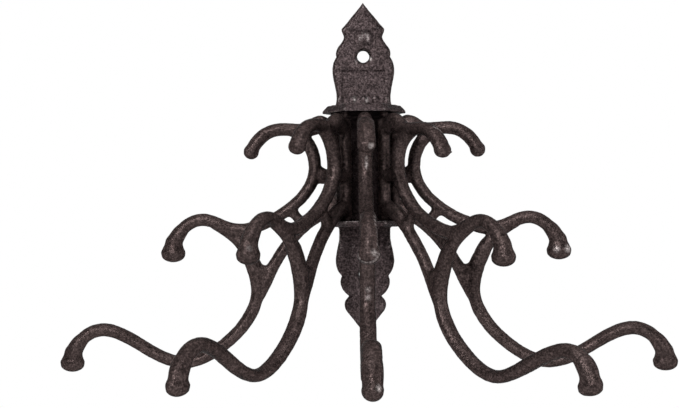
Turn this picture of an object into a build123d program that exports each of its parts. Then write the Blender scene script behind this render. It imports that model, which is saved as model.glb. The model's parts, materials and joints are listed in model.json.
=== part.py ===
"""Cast iron wall hook rack, in millimetres.

A pointed wall plate carries an upper and a lower shelf. Five equal arms hang
between the shelves on stub pins and swing sideways. Each arm has three hooks.
The wall is the plane Y = 0 and the room is on the -Y side. The origin is
midway between the two screw holes, on the wall.
"""
import os
from math import atan2, cos, degrees, hypot, radians, sin

from build123d import *

# Wall plate
plate_top = 78.6
plate_bottom = -81.7
plate_thickness = 3.6
plate_half_width = 13.9
plate_edge_bevel = 1.1
screw_spacing = 105.0
screw_hole_radius = 3.3
screw_hole_edge = 0.5

# Relief on the plate: raised leaf, fan of ribs, sunk field, beads and flutes at the shelves
relief_height = 0.5
relief_slope = 35.0
leaf_base = 66.0
leaf_inset = 3.6
leaf_margin = 2.2
neck_drop = 3.4
rib_width = 0.9
rib_length = 4.4
rib_count = 5
rib_fan = 24.0
rib_drop = 4.9
fan_radius = 15.0
field_top = 46.0
field_depth = 0.4
field_half_width = 10.6
bead_width = 2.6
bead_length = 4.0
bead_count = 5
bead_pitch = 5.6
flute_length = 9.0

# Shelves that hold the arms
pivot_count = 5
pivot_step = 40.0
pivot_circle_radius = 14.2
pivot_circle_offset = 8.9
upper_shelf_underside = 24.3
upper_shelf_thickness = 3.7
lower_shelf_top = -26.9
lower_shelf_thickness = 2.7
shelf_margin = 5.9
shelf_front_half_width = 9.6
shelf_side_depth = 11.6
shelf_root_half_width = 14.0
shelf_rim = 1.1
shelf_bevel = 2.2

# Arms
arm_headings = (-90.0, -33.0, 0.0, 39.5, 81.0)
arm_sags = (0.0, 0.0, 0.0, 1.9, 0.0)
sag_start = 4.5
sag_reach = 11.0
barrel_radius = 2.9
shoulder_height = 21.3
thrust_gap = 0.1
pin_radius = 1.9
pin_clearance = 0.08
pin_stand = 0.5
rod_half_depth = 3.3
crest_half_depth = 4.0
web_half_depth = 2.8
knob_radius = 5.7
middle_knob_flat = 0.85
lower_knob_flat = 0.75
tip_radius = 3.5
tip_half_depth = 4.1
tip_overhang = 0.5
tip_drop = 1.0

# Sizes that follow from the ones above
leaf_half_width = plate_half_width - leaf_inset
hole_radius = pin_radius + pin_clearance
upper_shelf_top = upper_shelf_underside + upper_shelf_thickness
lower_shelf_underside = lower_shelf_top - lower_shelf_thickness
pivots = []
for index in range(pivot_count):
    around = radians((index - (pivot_count - 1) / 2) * pivot_step)
    across = pivot_circle_radius * sin(around)
    out = pivot_circle_offset + pivot_circle_radius * cos(around)
    pivots.append((across, -out))
shelf_front = pivot_circle_offset + pivot_circle_radius + shelf_margin
shelf_half_width = pivots[-1][0] + shelf_margin


# Wall plate outline, the right half from the top point to the bottom point
def above(width_share, height_share):
    """A point beside the plate's upper half, between the shelf and the leaf."""
    return (plate_half_width * width_share, upper_shelf_top + (leaf_base - upper_shelf_top) * height_share)


def below(width_share, depth_share):
    """A point beside the plate's lower half, between the shelf and the bottom point."""
    depth = lower_shelf_underside - plate_bottom
    return (plate_half_width * width_share, lower_shelf_underside - depth * depth_share)


def plate_half_outline():
    tip = (0, plate_top)
    shoulder = (leaf_half_width, leaf_base)
    neck = (leaf_half_width - 1.0, leaf_base - neck_drop)
    halfway = (leaf_half_width * 0.505, (plate_top + leaf_base) / 2 - 0.3)
    waist = above(0.928, 0.645)
    shelf_corner = above(1, 0)
    lower_corner = (plate_half_width, lower_shelf_top)
    notch = below(0.806, 0.453)
    pinch = below(0.547, 0.641)
    lobe = below(0.669, 0.772)
    Spline(tip, halfway, shoulder, tangents=((0.55, -0.83), (0.72, -0.69)))
    Spline(shoulder, (leaf_half_width - 0.1, leaf_base - 1.2), neck, above(0.878, 0.763), waist)
    Spline(waist, above(1.072, 0.495), above(1.036, 0.355), above(0.95, 0.197), shelf_corner)
    Line(shelf_corner, lower_corner)
    Spline(lower_corner, below(0.885, 0.104), below(1.014, 0.324), notch)
    Spline(notch, below(0.856, 0.518), below(0.763, 0.587), pinch)
    Spline(pinch, below(0.705, 0.693), lobe)
    Spline(lobe, below(0.288, 0.902), (0, plate_bottom))


def shelf_outline():
    """Half of a six-sided shelf, with its flat back at the wall."""
    Polyline(
        (-shelf_root_half_width, 0),
        (-shelf_half_width, -shelf_side_depth),
        (-shelf_front_half_width, -shelf_front),
        (shelf_front_half_width, -shelf_front),
        (shelf_half_width, -shelf_side_depth),
        (shelf_root_half_width, 0),
        close=True,
    )


# Plate, shelves and relief are one casting
with BuildPart() as wall_plate:
    with BuildSketch(Plane.XZ) as plate_face:
        with BuildLine() as plate_edge:
            plate_half_outline()
            mirror(about=Plane.YZ)
        make_face()
        with Locations((0, screw_spacing / 2), (0, -screw_spacing / 2)):
            Circle(screw_hole_radius, mode=Mode.SUBTRACT)
    extrude(amount=plate_thickness)
    front_edges = wall_plate.faces().sort_by(Axis.Y)[0].outer_wire().edges()
    chamfer(front_edges, length=plate_edge_bevel)
    hole_edges = wall_plate.faces().sort_by(Axis.Y)[0].inner_wires()
    for wire in hole_edges:
        chamfer(wire.edges(), length=screw_hole_edge)
    # Leaf at the top, with straight raised sides
    with BuildSketch(Plane.XZ.offset(plate_thickness)):
        with BuildLine():
            Polyline(
                (0, plate_top - 2 * leaf_margin),
                (leaf_half_width - leaf_margin, leaf_base),
                (0, leaf_base - neck_drop / 2),
                (leaf_margin - leaf_half_width, leaf_base),
                close=True,
            )
        make_face()
    extrude(amount=relief_height, taper=relief_slope)
    # Fan of small ribs under the leaf
    with BuildSketch(Plane.XZ.offset(plate_thickness)):
        with Locations((0, leaf_base - rib_drop - fan_radius)):
            with PolarLocations(fan_radius, rib_count, start_angle=90 - rib_fan / 2, angular_range=rib_fan):
                SlotOverall(rib_length, rib_width)
    extrude(amount=relief_height)
    # Sunk field between the upper screw hole and the shelf
    field_height = field_top - upper_shelf_top - bead_length
    with BuildSketch(Plane.XZ.offset(plate_thickness)):
        with Locations((0, field_top - field_height / 2)):
            Rectangle(2 * field_half_width, field_height)
    extrude(amount=-field_depth, taper=relief_slope, mode=Mode.SUBTRACT)
    # Upright beads that rise from the upper shelf and flutes that hang from the lower one
    with BuildSketch(Plane.XZ.offset(plate_thickness)):
        with Locations((0, upper_shelf_top + bead_length / 2)):
            with GridLocations(bead_pitch, 0, bead_count, 1):
                SlotOverall(bead_length + bead_width, bead_width, rotation=90)
        with Locations((0, lower_shelf_underside - flute_length / 2)):
            with GridLocations(bead_pitch, 0, bead_count, 1):
                SlotOverall(flute_length + bead_width, bead_width, rotation=90)
    extrude(amount=relief_height, taper=relief_slope)
    # Upper shelf: upright rim below, sloping facets above
    with BuildSketch(Plane.XY.offset(upper_shelf_underside)):
        with BuildLine():
            shelf_outline()
        make_face()
    extrude(amount=shelf_rim)
    with BuildSketch(Plane.XY.offset(upper_shelf_underside + shelf_rim)):
        with BuildLine():
            shelf_outline()
        make_face()
    upper_slope = degrees(atan2(shelf_bevel, upper_shelf_thickness - shelf_rim))
    extrude(amount=upper_shelf_thickness - shelf_rim, taper=upper_slope)
    # Lower shelf: the same outline turned over
    with BuildSketch(Plane.XY.offset(lower_shelf_top - shelf_rim)):
        with BuildLine():
            shelf_outline()
        make_face()
    extrude(amount=shelf_rim)
    with BuildSketch(Plane.XY.offset(lower_shelf_top - shelf_rim)):
        with BuildLine():
            shelf_outline()
        make_face()
    lower_slope = degrees(atan2(shelf_bevel, lower_shelf_thickness - shelf_rim))
    extrude(amount=-(lower_shelf_thickness - shelf_rim), taper=lower_slope)
    # Pivot holes
    with BuildSketch(Plane.XY.offset(lower_shelf_underside - 1)):
        with Locations(*pivots):
            Circle(hole_radius)
    extrude(amount=upper_shelf_top - lower_shelf_underside + 2, mode=Mode.SUBTRACT)
wall_plate.part.label = "wall_plate"


# Arm, drawn in the plane X = reach, Z = height, with its pivot on the Z axis
upper_hook = (
    (-0.5, 17.0, 3.6), (3.4, 17.5, 3.8), (6.8, 19.3, 4.2), (10.2, 18.2, 3.9),
    (14.0, 16.8, 3.1), (18.0, 16.7, 2.9), (23.5, 17.1, 2.85), (28.8, 16.7, 2.85),
    (33.1, 14.9, 2.9), (36.9, 11.5, 3.0), (39.4, 7.6, 3.0),
)
middle_hook = (
    (20.5, 16.5, 2.6), (16.6, 14.2, 3.0), (13.4, 11.0, 3.0), (11.2, 7.2, 2.9),
    (9.9, 2.5, 2.85), (9.8, -3.0, 2.8), (11.2, -8.2, 2.75), (13.5, -12.2, 2.65),
    (17.0, -16.4, 2.6), (21.5, -20.3, 2.6), (26.8, -24.0, 2.65), (32.5, -26.9, 2.75),
    (38.5, -29.3, 2.85), (44.0, -30.6, 2.9), (50.0, -30.0, 2.9), (56.8, -27.3, 2.8),
    (63.6, -25.6, 2.8), (69.6, -27.4, 2.8), (74.2, -31.6, 2.85), (76.8, -36.6, 3.0),
    (77.5, -40.9, 3.1),
)
lower_hook = (
    (57.5, -27.8, 2.4), (53.2, -30.8, 3.0), (48.2, -34.6, 3.3), (43.6, -39.2, 3.5),
    (40.7, -44.4, 3.5), (38.7, -50.0, 3.4), (37.6, -56.0, 3.1), (37.7, -62.0, 2.95),
    (39.1, -67.2, 2.9), (41.7, -72.2, 2.85), (45.5, -77.5, 2.8), (50.6, -82.6, 2.75),
    (57.0, -87.6, 2.7), (64.2, -91.6, 2.7), (72.0, -93.4, 2.7), (80.0, -92.0, 2.7),
    (88.0, -88.2, 2.75), (96.0, -83.3, 2.8), (104.0, -79.2, 2.9), (111.6, -77.6, 2.95),
    (118.2, -79.6, 2.9), (122.8, -83.9, 2.9), (125.2, -88.6, 3.0), (125.9, -92.7, 3.1),
)
strut = (
    (-0.5, -21.6, 4.2), (4.6, -22.0, 4.1), (8.0, -23.2, 3.6), (11.4, -25.4, 3.5),
    (14.6, -28.3, 3.1), (17.6, -31.4, 2.8), (21.0, -35.2, 2.65), (24.7, -39.9, 2.6),
    (28.3, -45.4, 2.6), (31.4, -51.2, 2.7), (34.2, -57.0, 2.8), (36.6, -62.6, 2.7),
)
barrel_web = ((0.0, -5.8, 4.2), (3.6, -5.7, 3.6), (6.8, -5.0, 3.9), (9.6, -4.2, 5.2))
crossing = ((15.4, -28.4, 2.6), (18.4, -24.8, 2.3), (21.6, -21.0, 2.6))
crotch = ((34.2, -48.2, 2.5), (35.1, -52.0, 3.4), (36.2, -58.0, 3.4))
tip_reach = upper_hook[-1][0] + tip_overhang
tip_height = upper_hook[-1][1] - tip_drop
knob_profile = ((7.0, 0.5), (4.6, 0.6), (2.2, 0.82), (0, 1.0), (-2.3, 0.93), (-4.0, 0.66), (-4.9, 0.26))


def sagged(reach, height, sag):
    """Lower a height by the arm's sag, which starts clear of the shelves."""
    return height - sag * min(max((reach - shelf_margin - sag_start) / sag_reach, 0), 1)


def rod(stations, first_depth, last_depth, sag):
    """Loft an oval rod through stations of (reach, height, half width)."""
    middles = [(reach, sagged(reach, height, sag)) for reach, height, half_width in stations]
    last = len(stations) - 1
    with BuildPart() as body:
        for index, (reach, height) in enumerate(middles):
            before = middles[max(index - 1, 0)]
            after = middles[min(index + 1, last)]
            along = (after[0] - before[0], 0, after[1] - before[1])
            half_depth = first_depth + (last_depth - first_depth) * index / last
            station = Plane(origin=(reach, 0, height), x_dir=(0, 1, 0), z_dir=along)
            with BuildSketch(station):
                Ellipse(half_depth, stations[index][2])
        loft()
    return body.part


def knob(station, flat, sag):
    """Loft a bell-shaped knob whose widest ring lies round the end of a hook."""
    reach, height = station[:2]
    with BuildPart() as bell:
        for rise, share in knob_profile:
            with BuildSketch(Plane.XY.offset(sagged(reach, height, sag) + rise)):
                with Locations((reach, 0)):
                    Ellipse(share * knob_radius, share * knob_radius * flat)
        loft(ruled=True)
    return bell.part


barrel_foot = lower_shelf_top + thrust_gap
pin_top = upper_shelf_top + pin_stand
with BuildPart() as hook_tip:
    Sphere(tip_radius)
    scale(by=(1, tip_half_depth / tip_radius, 1))


def casting(sag):
    """One arm with its stub pins, cast in one piece."""
    rods = [
        rod(upper_hook, rod_half_depth, crest_half_depth, sag),
        rod(middle_hook, rod_half_depth, rod_half_depth, sag),
        rod(lower_hook, rod_half_depth, crest_half_depth, sag),
        rod(strut, web_half_depth, web_half_depth, sag),
        rod(barrel_web, web_half_depth, web_half_depth, sag),
        rod(crossing, web_half_depth, web_half_depth, sag),
        rod(crotch, web_half_depth, web_half_depth, sag),
        knob(middle_hook[-1], middle_knob_flat, sag),
        knob(lower_hook[-1], lower_knob_flat, sag),
    ]
    with BuildPart() as pattern:
        with BuildSketch(Plane.XY.offset(barrel_foot)):
            Circle(barrel_radius)
        extrude(amount=shoulder_height - barrel_foot)
        with BuildSketch(Plane.XY.offset(lower_shelf_underside)):
            Circle(pin_radius)
        extrude(amount=pin_top - lower_shelf_underside)
        for piece in rods:
            add(piece)
        with Locations((tip_reach, 0, sagged(tip_reach, tip_height, sag))):
            add(hook_tip.part)
    return pattern.part


os.makedirs("parts", exist_ok=True)
export_step(wall_plate.part, "parts/wall_plate.step")
patterns = {sag: casting(sag) for sag in sorted(set(arm_sags))}
for index, (heading, sag) in enumerate(zip(arm_headings, arm_sags)):
    name = f"arm_{index + 1}"
    across, out = pivots[index]
    place = Location((across, out, 0), (0, 0, heading - 90))
    with BuildPart() as arm:
        with Locations(place):
            add(patterns[sag])
    arm.part.label = name
    export_step(arm.part, f"parts/{name}.step")
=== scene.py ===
"""The looks of the cast iron wall hook rack, in metres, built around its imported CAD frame."""

import json
from math import cos, radians, sin

import bmesh
import bpy
import numpy as np
from mathutils import Matrix, Vector


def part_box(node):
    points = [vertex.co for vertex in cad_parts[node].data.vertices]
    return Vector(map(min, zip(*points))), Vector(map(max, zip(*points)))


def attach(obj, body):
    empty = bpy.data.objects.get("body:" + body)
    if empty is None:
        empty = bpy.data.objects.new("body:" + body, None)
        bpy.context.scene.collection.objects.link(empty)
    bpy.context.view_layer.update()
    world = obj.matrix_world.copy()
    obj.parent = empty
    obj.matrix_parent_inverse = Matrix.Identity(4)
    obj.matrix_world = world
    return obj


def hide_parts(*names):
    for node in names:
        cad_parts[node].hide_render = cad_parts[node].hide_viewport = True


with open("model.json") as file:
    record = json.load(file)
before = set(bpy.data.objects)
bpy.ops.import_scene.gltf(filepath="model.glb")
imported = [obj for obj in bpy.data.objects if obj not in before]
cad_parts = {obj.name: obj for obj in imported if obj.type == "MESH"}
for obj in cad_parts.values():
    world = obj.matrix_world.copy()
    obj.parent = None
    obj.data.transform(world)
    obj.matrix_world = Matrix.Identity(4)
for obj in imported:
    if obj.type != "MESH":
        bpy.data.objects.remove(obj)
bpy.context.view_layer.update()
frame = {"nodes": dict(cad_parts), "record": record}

MM = 0.001
TINY = 1e-9  # keeps a length away from zero
PLATE = "wall_plate"
ARMS = ("arm_1", "arm_2", "arm_3", "arm_4", "arm_5")

# Each arm's direction at rest, in degrees to the right of straight out, and its pin's place
HEADINGS = dict(zip(ARMS, (-90.0, -33.0, 0.0, 39.5, 81.0)))
PIVOTS = {joint["child"]: joint["pos_m"] for joint in frame["record"]["behaviour"]["joints"]}

# Iron: the skin's darker and lighter colour and the depth of its grain, on plate and arms
PLATE_SKIN = ((0.056, 0.0415, 0.042), (0.079, 0.0600, 0.061))
ARM_SKIN = ((0.060, 0.0430, 0.041), (0.086, 0.0630, 0.060))
PLATE_GRAIN = 0.9
ARM_GRAIN = 0.7
# Colour of the painted shade in hollows, in and around the screw holes and between the shelves
PAINTED_SHADE_COLOUR = (0.007, 0.004, 0.004)
# Light bare colour of rubbed edges and of painted highlights and glints
WORN_AND_HIGHLIGHT_COLOUR = (0.48, 0.43, 0.42)
METALLIC = 0.75
IRON_IOR = 1.3
EDGE_TINT = (0.12, 0.10, 0.10)

# Noise under the skin: size in mm, detail, roughness
FINE_NOISE = (0.85, 2.0, 0.6)
GRAIN_NOISE = (2.2, 2.0, 0.6)
PATCH_NOISE = (14.0, 3.0, 0.55)

# How the noise shades the skin: places on a ramp, and the brightness or roughness there.
# Pits are darker and grains lighter than 1 by a share of the grain's depth.
PATCH_STOPS = (0.32, 0.68)
PIT_STOPS = (0.36, 0.50, 0.64)
PIT_DARK, PIT_MIDDLE, PIT_LIGHT = 0.65, 0.9, 0.8
BLOTCH_STOPS, BLOTCH_SHADES = (0.38, 0.50, 0.64), (0.75, 0.98, 1.22)
BROKEN_STOPS, BROKEN_SHADES = (0.38, 0.60), (0.25, 1.0)
ROUGH_STOPS, ROUGH_VALUES = (0.3, 0.7), (0.32, 0.52)
WORN_AND_HIGHLIGHT_ROUGHNESS = (0.3, 0.3, 0.3)
BUMP_STRENGTH = 0.8
GRAIN_BUMP, FINE_BUMP = 0.5, 0.36  # in mm at a grain's depth of 1

# Castings: cell of the remesh and welding distance in metres, rounds of smoothing,
# swelling of an arm's skin in mm, and the size and height of the skin's lumps in mm
VOXEL = 0.42 * MM
WELD = 1e-7
PLATE_SMOOTHING = 1
ARM_SMOOTHING = 10
ARM_SWELL = 0.2
LUMPS = ((3.4, 0.20), (1.3, 0.16))

# The swelling starts outside the pin: distance from its axis and fade, in mm
PIN_CLEAR, PIN_FADE = 4.5, 2.0

# Places where a knob or a strut runs into its rod, in mm on an arm:
# reach and height, radius of the blend, swelling at its middle
BLENDS = (
    ((76.2, -33.8), 6.5, 1.15),
    ((79.6, -31.8), 5.0, 0.2),
    ((77.5, -46.0), 4.5, 0.0),
    ((124.6, -85.8), 6.5, 1.15),
    ((128.0, -83.8), 5.0, 0.2),
    ((125.9, -97.8), 4.5, 0.0),
    ((36.6, -62.6), 6.5, 0.1),
    ((35.2, -47.0), 5.5, 0.9),
    ((51.5, -36.5), 9.0, -0.9),
    ((19.0, -26.0), 6.0, 0.1),
)

# Rounds of melting, how freely the skin melts at a blend's middle, where 1 is freely,
# and how much less with each radius away from it
BLEND_ROUNDS = 70
MELT_MIDDLE, MELT_FALL = 1.5, 1.3

# One arm differs from the pattern, all in mm: it hangs lower outside the shelves, its lower
# crest sags more (reach, half length, drop), and its upper hook's tip has a small burr
ODD_ARM = "arm_4"
ODD_DROP = 1.9
CREST_REACH, CREST_HALF, CREST_DROP = 106.0, 26.0, 2.6
BURR_PLACE = (43.2, 1.5, 3.4)
BURR_WAY = (0.64, 0.77, 0.05)
BURR_RADIUS = 1.2
BURR_HEIGHT = 1.6
BURR_TAPER = 1.5

# Screw holes in mm: their heights, how far the skin closes in on them, from which
# distance and over how much, and the radius and fade of the ring of painted shade in and around
# them
SCREW_HOLES = (52.5, -52.5)
HOLE_SKIN = 0.35
HOLE_LIP, LIP_FADE = 4.6, 1.0
HOLE_RING, RING_FADE = 3.7, 0.5

# Bends that are taken for an edge, which gets rubbed wear and painted highlight, and for a
# hollow, which gets painted shade, and how strongly
EDGE_FROM, EDGE_TO = 0.07, 0.18
PLATE_EDGE_WEAR_AND_HIGHLIGHT = 0.6
ARM_EDGE_WEAR_AND_HIGHLIGHT = 0.3
HOLLOW_FROM, HOLLOW_SPAN = 0.02, 0.12
HOLLOW_PAINTED_SHADE = 0.8

# Painted shade on the plate between its shelves: height and fade in mm, strength, and how far
# in front of the wall it starts
BETWEEN_SHELVES, SHELF_FADE = 25.0, 2.0
SHELF_SHADE = 0.55
SHELF_FRONT = 1.5

# A spot fades out at this many radii; on the plate it needs a skin that faces the room
SPOT_FADE = 1.35
FACES_ROOM = -0.3

# Painted highlight along the outline of the middle arm's middle hook: reach, side and height in
# mm
HOOK_RIM_HIGHLIGHT = (
    (70.2, 2.6, -25.8), (72.3, 2.7, -27.3), (74.1, 2.7, -29.0), (75.3, 2.8, -30.7),
    (76.6, 2.8, -32.4), (77.4, 2.8, -34.0), (78.1, 2.8, -35.7), (79.0, 3.1, -37.4),
    (68.1, -3.1, -25.8), (69.9, -3.2, -27.3), (79.3, -4.5, -41.5), (80.2, -3.9, -43.1),
    (80.4, -2.7, -44.3), (80.9, -1.7, -44.7), (81.2, -0.6, -44.9), (81.4, 0.4, -44.7),
    (81.4, 1.5, -44.3), (81.5, 2.5, -43.6), (81.2, 3.3, -42.5), (80.7, 3.9, -41.3),
)
OUTLINE_RADIUS = 0.8
OUTLINE_STRENGTH = 0.85

# Painted highlights and glints on the arms: reach, side and height, radius, all in mm, and
# strength
ARM_HIGHLIGHT_SPOTS = {
    "arm_1": (
        ((-1.4, 2.8, -14.0), 1.6, 0.5),
        ((-1.4, 2.8, -10.5), 1.6, 0.5),
    ),
    "arm_2": (
        ((80.6, 3.0, -38.6), 1.3, 0.35),
        ((80.6, -1.5, -39.4), 1.0, 0.3),
    ),
    "arm_3": (
        ((83.0, 2.6, -40.4), 1.7, 1.0),
        ((130.6, 2.6, -91.6), 1.5, 1.0),
        ((43.2, 2.4, 5.8), 1.5, 0.9),
        ((13.2, 0.5, 2.4), 0.75, 0.4),
        ((13.0, 0.5, 1.4), 0.75, 0.5),
        ((12.8, 0.5, 0.4), 0.75, 0.6),
        ((12.6, 0.5, -0.6), 0.75, 0.8),
        ((12.4, 0.5, -1.6), 0.75, 0.9),
        ((12.2, 0.5, -2.6), 0.75, 0.6),
        ((12.0, 0.5, -3.6), 0.75, 0.3),
        ((40.4, 0.2, -57.5), 1.3, 0.5),
        ((40.8, 0.2, -61.0), 1.3, 0.5),
        *((place, OUTLINE_RADIUS, OUTLINE_STRENGTH) for place in HOOK_RIM_HIGHLIGHT),
    ),
    "arm_4": (
        ((35.2, -0.8, 15.0), 0.65, 0.8),
        ((35.8, -0.1, 14.6), 0.65, 0.9),
        ((36.3, 0.6, 14.2), 0.65, 0.9),
        ((36.8, 1.0, 13.7), 0.65, 1.0),
        ((37.2, 1.3, 13.2), 0.65, 1.0),
        ((37.6, 1.6, 12.7), 0.65, 0.9),
        ((37.9, 1.8, 12.3), 0.65, 0.8),
    ),
    "arm_5": (
        ((82.0, -3.0, -40.6), 2.0, 1.0),
        ((76.6, -4.8, -40.8), 1.6, 0.6),
    ),
}

# Painted highlights and glints on the plate's front: across and height, half width and half
# height, strength
PLATE_HIGHLIGHT_SPOTS = (
    ((-1.6, 61.2), (0.45, 1.2), 0.7),
    ((-0.4, 62.4), (0.35, 1.8), 0.55),
    ((1.2, 62.9), (0.35, 1.6), 0.6),
    ((2.3, 61.6), (0.5, 2.0), 0.7),
    ((-4.3, 31.8), (0.7, 1.5), 1.0),
    ((1.5, 31.4), (0.7, 1.5), 1.0),
    ((3.5, 51.2), (0.5, 1.0), 1.0),
    ((-3.6, 50.0), (0.4, 1.2), 0.4),
)

# Stage: its half width, and y and z of the floor's front, the corner and the backdrop's top
PALE = (0.8, 0.8, 0.8, 1)
WHITE = (1, 1, 1, 1)
STAGE_SIDE = 2.0
FLOOR_FRONT = (-3.0, -0.4)
STAGE_CORNER = (0.30, -0.4)
BACKDROP_TOP = (0.30, 2.0)

# Lamps, all turned to one point: place, width and height, power
LAMPS = {
    "key": ((-0.50, -1.25, 0.62), (0.32, 0.32), 12.4),
    "fill": ((0.45, -1.35, 0.15), (0.5, 0.5), 3.2),
    "rim": ((1.10, -0.45, 0.25), (0.3, 0.6), 2.2),
    "top": ((0.0, -0.45, 1.1), (0.6, 0.4), 3.5),
}
LAMP_TARGET = (0, -0.05, 0)

# Strength of the room's light, where 1 is white
ROOM_LIGHT = 0.05

# Camera, at the photograph's distance and height: focal length and width in pixels
FRAME_WIDTH = 679
FOCAL = 1506.5
SENSOR = 36
SHIFT = (0.0015, 0.0404)
CLIP_START = 0.05
ROLL = radians(-0.499)
CAMERA_PLACE = (-12.67 * MM, -729.3 * MM, -31.7 * MM)


# Materials
def new_material(name):
    material = bpy.data.materials.new(name)
    material.use_nodes = True
    tree = material.node_tree
    tree.nodes.clear()
    return material, tree


def node(tree, kind, **values):
    """A new node with its inputs, or else its settings, at these values."""
    made = tree.nodes.new(kind)
    for key, value in values.items():
        if key in made.inputs:
            made.inputs[key].default_value = value
        else:
            setattr(made, key, value)
    return made


def feed(tree, socket, value):
    """Link a socket to another, or set it to a number or a colour."""
    if isinstance(value, bpy.types.NodeSocket):
        tree.links.new(value, socket)
    else:
        socket.default_value = (*value, 1) if isinstance(value, tuple) else value


def calculate(tree, operation, first, second):
    made = node(tree, "ShaderNodeMath", operation=operation)
    feed(tree, made.inputs[0], first)
    feed(tree, made.inputs[1], second)
    return made.outputs[0]


def ramp(tree, source, stops, colours):
    """A colour ramp over a source; a plain number stands for a grey."""
    made = tree.nodes.new("ShaderNodeValToRGB")
    points = made.color_ramp.elements
    while len(points) < len(stops):
        points.new(0.5)
    for point, stop, colour in zip(points, stops, colours):
        point.position = stop
        point.color = (*colour, 1) if isinstance(colour, tuple) else (colour, colour, colour, 1)
    tree.links.new(source, made.inputs["Fac"])
    return made.outputs["Color"]


def blend_colours(tree, share, first, second, kind="MIX"):
    made = node(tree, "ShaderNodeMix", data_type="RGBA", blend_type=kind)
    for key, value in (("Factor", share), ("A", first), ("B", second)):
        feed(tree, made.inputs[key], value)
    return made.outputs["Result"]


def cast_iron(name, depth, dark, light):
    """Dark oiled iron with sand grain, with painted shade in its hollows and a light bare colour
    where it is rubbed and where highlights are painted.
    """
    material, tree = new_material(name)
    link = tree.links.new
    output = node(tree, "ShaderNodeOutputMaterial")
    shader = node(tree, "ShaderNodeBsdfPrincipled", Metallic=METALLIC, IOR=IRON_IOR)
    shader.inputs["Specular Tint"].default_value = (*EDGE_TINT, 1)
    link(shader.outputs["BSDF"], output.inputs["Surface"])
    where = node(tree, "ShaderNodeTexCoord").outputs["Object"]

    def noise(size, detail, roughness):
        scale = 1.0 / (size * MM)
        made = node(tree, "ShaderNodeTexNoise", Scale=scale, Detail=detail, Roughness=roughness)
        link(where, made.inputs["Vector"])
        return made.outputs["Fac"]

    def bump(height, mm):
        made = node(tree, "ShaderNodeBump", Strength=BUMP_STRENGTH, Distance=mm * depth * MM)
        link(height, made.inputs["Height"])
        return made

    fine, grain, patch = noise(*FINE_NOISE), noise(*GRAIN_NOISE), noise(*PATCH_NOISE)
    wear_and_highlight = node(tree, "ShaderNodeAttribute", attribute_name="wear_and_highlight").outputs["Fac"]
    painted_shade = node(tree, "ShaderNodeAttribute", attribute_name="painted_shade").outputs["Fac"]

    skin = ramp(tree, patch, PATCH_STOPS, (dark, light))
    pit_shades = (1 - PIT_DARK * depth, PIT_MIDDLE, 1 + PIT_LIGHT * depth)
    pits = ramp(tree, fine, PIT_STOPS, pit_shades)
    skin = blend_colours(tree, 1.0, skin, pits, "MULTIPLY")
    blotches = ramp(tree, grain, BLOTCH_STOPS, BLOTCH_SHADES)
    skin = blend_colours(tree, 1.0, skin, blotches, "MULTIPLY")
    # Painted shade: the skin darkens towards the painted shade colour in hollows, at the screw
    # holes and between the shelves
    skin = blend_colours(tree, painted_shade, skin, PAINTED_SHADE_COLOUR)
    # Rubbed wear on edges and painted highlights and glints, in a light bare colour with less
    # roughness
    broken = calculate(tree, "MULTIPLY", wear_and_highlight, ramp(tree, fine, BROKEN_STOPS, BROKEN_SHADES))
    skin = blend_colours(tree, broken, skin, WORN_AND_HIGHLIGHT_COLOUR)
    link(skin, shader.inputs["Base Color"])

    rough = ramp(tree, grain, ROUGH_STOPS, ROUGH_VALUES)
    rough = blend_colours(tree, broken, rough, WORN_AND_HIGHLIGHT_ROUGHNESS)
    link(rough, shader.inputs["Roughness"])

    coarse = bump(grain, GRAIN_BUMP)
    shallow = bump(fine, FINE_BUMP)
    link(coarse.outputs["Normal"], shallow.inputs["Normal"])
    link(shallow.outputs["Normal"], shader.inputs["Normal"])
    return material


# Castings: each CAD solid remeshed finely, with softened edges and sand-cast skin
def arm_point(name, place):
    """A point given by reach, side and height on an arm, in metres in the shared frame."""
    angle = radians(HEADINGS[name])
    reach, side, height = (value * MM for value in place)
    across, out, _ = PIVOTS[name]
    along = np.array([sin(angle), -cos(angle), 0.0])
    sideways = np.array([cos(angle), sin(angle), 0.0])
    pivot = np.array([across, out, 0.0])
    return pivot + along * reach + sideways * side + np.array([0.0, 0.0, height])


def distances(places, point, radius):
    """How far each place is from a point, counted in radii of so many mm."""
    return np.linalg.norm(places - point, axis=1) / (radius * MM)


def read(items, key, width, kind=np.float32):
    values = np.empty(len(items) * width, kind)
    items.foreach_get(key, values)
    return values.reshape(-1, width)


def joined(mesh):
    """The two ends of every edge, and each point's number of neighbours."""
    first, second = read(mesh.edges, "vertices", 2, np.int32).T
    size = len(mesh.vertices)
    count = np.bincount(first, minlength=size) + np.bincount(second, minlength=size)
    return first, second, np.maximum(count, 1)


def neighbour_sum(values, first, second):
    size = len(values)
    return np.bincount(first, values[second], size) + np.bincount(second, values[first], size)


def melt(places, weights, first, second, count):
    """Smooth the places by their neighbours, as far as each weight allows."""
    near = weights[first] + weights[second] > 0
    first, second = first[near], second[near]
    for _ in range(BLEND_ROUNDS):
        for axis in range(3):
            line = places[:, axis]
            mean = neighbour_sum(line, first, second) / count
            places[:, axis] += weights * (mean - line) / 2


def spread(values, first, second, count):
    """Average each point's value with its neighbours' twice."""
    for _ in range(2):
        values = (values + neighbour_sum(values, first, second) / count) / 2
    return values


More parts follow.
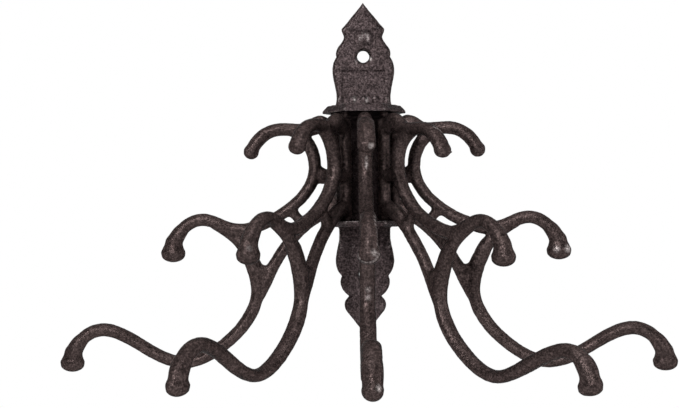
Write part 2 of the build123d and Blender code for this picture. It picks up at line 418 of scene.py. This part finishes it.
def sand_cast(name):
    """A dense copy of a CAD node with softened edges and a lumpy skin."""
    work = bmesh.new()
    work.from_mesh(frame["nodes"][name].data)
    bmesh.ops.remove_doubles(work, verts=work.verts, dist=WELD)
    mesh = bpy.data.meshes.new(name + "_cast")
    work.to_mesh(mesh)
    work.free()
    made = bpy.data.objects.new(name + "_cast", mesh)
    bpy.context.scene.collection.objects.link(made)
    remesh = made.modifiers.new("remesh", "REMESH")
    remesh.mode = "VOXEL"
    remesh.voxel_size = VOXEL
    smooth = made.modifiers.new("smooth", "SMOOTH")
    smooth.iterations = ARM_SMOOTHING if name in ARMS else PLATE_SMOOTHING
    for size, height in LUMPS:
        texture = bpy.data.textures.new(f"{name}_{size}", "CLOUDS")
        texture.noise_scale = size * MM
        texture.noise_depth = 1
        lumps = made.modifiers.new("lumps", "DISPLACE")
        lumps.texture = texture
        lumps.texture_coords = "LOCAL"
        lumps.strength = height * MM
    bpy.context.view_layer.update()
    graph = bpy.context.evaluated_depsgraph_get()
    made.data = bpy.data.meshes.new_from_object(made.evaluated_get(graph))
    made.modifiers.clear()
    return made


def close_holes(places):
    """Draw the skin in around the plate's screw holes, so that they end a little narrower."""
    for height in SCREW_HOLES:
        out = places - np.array([0, 0, height * MM])
        out[:, 1] = 0
        away = np.maximum(np.linalg.norm(out, axis=1), TINY)
        lip = np.clip((HOLE_LIP * MM - away) / (LIP_FADE * MM), 0, 1)
        places -= out / away[:, None] * (lip * HOLE_SKIN * MM)[:, None]


def blend_arm(name, places, normals, links):
    """Swell an arm's skin outside its pin, and melt its joins into its rods."""
    drop = ODD_DROP if name == ODD_ARM else 0.0
    across, out, _ = PIVOTS[name]
    off_axis = np.hypot(places[:, 0] - across, places[:, 1] - out) / MM
    swell = ARM_SWELL * MM * np.clip((off_axis - PIN_CLEAR) / PIN_FADE, 0, 1)
    weights = np.zeros(len(places))
    for (reach, height), radius, extra in BLENDS:
        away = distances(places, arm_point(name, (reach, 0, height - drop)), radius)
        swell += extra * MM * np.clip(1 - away ** 2, 0, 1)
        weights = np.maximum(weights, np.clip(MELT_MIDDLE - MELT_FALL * away, 0, 1))
    places += normals * swell[:, None]
    melt(places, weights, *links)


def lower_crest(name, places):
    """Let the lower hook's crest sag smoothly around its middle."""
    pivot = arm_point(name, (0, 0, 0))
    reach = (places - pivot) @ (arm_point(name, (1, 0, 0)) - pivot) / MM ** 2
    share = np.clip(1 - np.abs(reach - CREST_REACH) / CREST_HALF, 0, 1)
    places[:, 2] -= share * share * (3 - 2 * share) * CREST_DROP * MM


def raise_burr(name, places):
    """Pull a small burr out of the skin."""
    away = distances(places, arm_point(name, BURR_PLACE), BURR_RADIUS)
    way = arm_point(name, BURR_WAY) - arm_point(name, (0, 0, 0))
    way /= np.linalg.norm(way)
    places += np.outer(np.clip(1 - away, 0, 1) ** BURR_TAPER, way) * BURR_HEIGHT * MM


def bends(places, normals, first, second, count):
    """How sharply the skin bends at each point: above 0 on an edge, below it in a hollow."""
    step = places[second] - places[first]
    length = np.maximum(np.linalg.norm(step, axis=1), TINY)
    size = len(places)
    below = np.bincount(first, -(step * normals[first]).sum(1) / length, size)
    below += np.bincount(second, (step * normals[second]).sum(1) / length, size)
    return spread(below / count, first, second, count)


def plate_highlights_and_shade(places, normals, wear_and_highlight, painted_shade):
    """Painted highlights on the plate's front, painted shade in and around the screw holes, and
    painted shade between the shelves.
    """
    across, out, height = (places / MM).T
    facing = normals[:, 1] < FACES_ROOM
    # Painted highlights and glints on flutes, beads and a screw hole's rim, on skin that faces
    # the room
    for (spot_across, spot_height), (wide, tall), strength in PLATE_HIGHLIGHT_SPOTS:
        away = np.hypot((across - spot_across) / wide, (height - spot_height) / tall)
        wear_and_highlight = np.maximum(wear_and_highlight, strength * np.clip(SPOT_FADE - away, 0, 1) * facing)
    # Painted shade in and around each screw hole
    for hole in SCREW_HOLES:
        away = np.hypot(across, height - hole)
        painted_shade = np.maximum(painted_shade, np.clip((HOLE_RING - away) / RING_FADE + 1, 0, 1))
    # Painted shade on the plate's front between the shelves
    inside = np.clip((BETWEEN_SHELVES - np.abs(height)) / SHELF_FADE, 0, 1)
    painted_shade = np.maximum(painted_shade, SHELF_SHADE * inside * (out < -SHELF_FRONT))
    return wear_and_highlight, painted_shade


def wear_highlights_and_shade(name, mesh, places, normals, links):
    """Write at each point of a casting its rubbed wear and painted highlight, and its painted
    shade.
    """
    bend = bends(places, normals, *links)
    # Light bare colour on convex edges: partly rubbed wear, partly painted edge highlights
    edge_wear_and_highlight = ARM_EDGE_WEAR_AND_HIGHLIGHT if name in ARMS else PLATE_EDGE_WEAR_AND_HIGHLIGHT
    wear_and_highlight = np.clip((bend - EDGE_FROM) / (EDGE_TO - EDGE_FROM), 0, 1) * edge_wear_and_highlight
    # Painted shade in hollows and creases
    painted_shade = np.clip((-bend - HOLLOW_FROM) / HOLLOW_SPAN, 0, 1) * HOLLOW_PAINTED_SHADE
    if name == PLATE:
        wear_and_highlight, painted_shade = plate_highlights_and_shade(places, normals, wear_and_highlight, painted_shade)
    # Painted highlights and glints on the arms
    for place, radius, strength in ARM_HIGHLIGHT_SPOTS.get(name, ()):
        away = distances(places, arm_point(name, place), radius)
        wear_and_highlight = np.maximum(wear_and_highlight, strength * np.clip(SPOT_FADE - away, 0, 1))
    for key, values in (("wear_and_highlight", wear_and_highlight), ("painted_shade", spread(painted_shade, *links))):
        layer = mesh.attributes.new(key, "FLOAT", "POINT")
        layer.data.foreach_set("value", np.clip(values, 0, 1).astype(np.float32))


def casting(name, material):
    """A dense copy of a CAD node, softened, shaped, worn, with painted highlights and painted
    shade, in place of the node.
    """
    low, high = (np.array(corner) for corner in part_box(name))
    made = sand_cast(name)
    mesh = made.data
    places = read(mesh.vertices, "co", 3).astype(float)
    normals = read(mesh.vertex_normals, "vector", 3).astype(float)
    links = joined(mesh)
    if name in ARMS:
        blend_arm(name, places, normals, links)
    else:
        close_holes(places)
    if name == ODD_ARM:
        lower_crest(name, places)
        raise_burr(name, places)
    places = np.clip(places, low, high)
    mesh.vertices.foreach_set("co", places.astype(np.float32).ravel())
    wear_highlights_and_shade(name, mesh, places, normals, links)
    mesh.materials.clear()
    mesh.materials.append(material)
    mesh.shade_smooth()
    mesh.update()
    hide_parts(name)
    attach(made, name)


plate_iron = cast_iron("plate_iron", PLATE_GRAIN, *PLATE_SKIN)
arm_iron = cast_iron("arm_iron", ARM_GRAIN, *ARM_SKIN)
for name, cad in frame["nodes"].items():
    iron = arm_iron if name in ARMS else plate_iron
    cad.data.materials.clear()
    cad.data.materials.append(iron)
    casting(name, iron)


# Stage and world: white where they are seen or reflected, and a dim light on the object
def light_path(tree):
    """Whether a ray reaches the eye, straight or through glass, and whether it is reflected."""
    path = node(tree, "ShaderNodeLightPath").outputs
    seen = calculate(tree, "MAXIMUM", path["Is Camera Ray"], path["Is Transmission Ray"])
    return seen, path["Is Glossy Ray"]


def mix_shaders(tree, share, first, second):
    made = node(tree, "ShaderNodeMixShader")
    for socket, value in zip(made.inputs, (share, first, second)):
        tree.links.new(value, socket)
    return made.outputs[0]


def stage_material(name):
    """Pale to the lamps, white to the eye and in reflections, and clear from behind."""
    material, tree = new_material(name)
    seen, glossy = light_path(tree)
    plain = node(tree, "ShaderNodeBsdfDiffuse", Color=PALE)
    white = node(tree, "ShaderNodeEmission", Color=WHITE, Strength=1.0)
    clear = node(tree, "ShaderNodeBsdfTransparent")
    shown = calculate(tree, "MAXIMUM", seen, glossy)
    front = mix_shaders(tree, shown, plain.outputs[0], white.outputs[0])
    behind = node(tree, "ShaderNodeNewGeometry").outputs["Backfacing"]
    output = node(tree, "ShaderNodeOutputMaterial")
    surface = mix_shaders(tree, behind, front, clear.outputs[0])
    tree.links.new(surface, output.inputs["Surface"])
    return material


def quad(name, near, far, material):
    """A rectangle across the stage, from one line at a given y and z to another."""
    corners = [(-STAGE_SIDE, *near), (STAGE_SIDE, *near), (STAGE_SIDE, *far), (-STAGE_SIDE, *far)]
    mesh = bpy.data.meshes.new(name)
    mesh.from_pydata(corners, [], [(0, 1, 2, 3)])
    mesh.materials.append(material)
    made = bpy.data.objects.new(name, mesh)
    bpy.context.scene.collection.objects.link(made)


def studio_world():
    """A dim room that is white where it is seen, and behind the object for metal to reflect."""
    world = bpy.data.worlds.new("studio")
    world.use_nodes = True
    tree = world.node_tree
    direction = node(tree, "ShaderNodeSeparateXYZ")
    tree.links.new(node(tree, "ShaderNodeTexCoord").outputs["Generated"], direction.inputs[0])
    seen, glossy = light_path(tree)
    behind = calculate(tree, "GREATER_THAN", direction.outputs["Y"], 0.0)
    white = calculate(tree, "MAXIMUM", seen, calculate(tree, "MULTIPLY", behind, glossy))
    level = node(tree, "ShaderNodeMapRange")
    level.inputs["To Min"].default_value = ROOM_LIGHT
    tree.links.new(white, level.inputs["Value"])
    background = tree.nodes["Background"]
    background.inputs["Color"].default_value = WHITE
    tree.links.new(level.outputs[0], background.inputs["Strength"])
    return world


def lamp(name, place, size, power):
    light = bpy.data.lights.new(name, "AREA")
    light.shape = "RECTANGLE"
    light.size, light.size_y = size
    light.energy = power
    made = bpy.data.objects.new(name, light)
    bpy.context.scene.collection.objects.link(made)
    made.location = place
    aim = Vector(LAMP_TARGET) - Vector(place)
    made.rotation_euler = aim.to_track_quat("-Z", "Y").to_euler()


pale = stage_material("pale_stage")
quad("backdrop", STAGE_CORNER, BACKDROP_TOP, pale)
quad("floor", FLOOR_FRONT, STAGE_CORNER, pale)
for name, row in LAMPS.items():
    lamp(name, *row)
bpy.context.scene.world = studio_world()
bpy.context.scene.view_settings.view_transform = "Standard"

# Camera
camera_data = bpy.data.cameras.new("camera")
camera_data.sensor_width = SENSOR
camera_data.lens = SENSOR * FOCAL / FRAME_WIDTH
camera_data.shift_x, camera_data.shift_y = SHIFT
camera_data.clip_start = CLIP_START
camera = bpy.data.objects.new("camera", camera_data)
bpy.context.scene.collection.objects.link(camera)
right = Vector((cos(ROLL), 0, sin(ROLL)))
upward = Vector((-sin(ROLL), 0, cos(ROLL)))
turn = Matrix((right, upward, right.cross(upward))).transposed().to_4x4()
camera.matrix_world = Matrix.Translation(CAMERA_PLACE) @ turn
bpy.context.scene.camera = camera
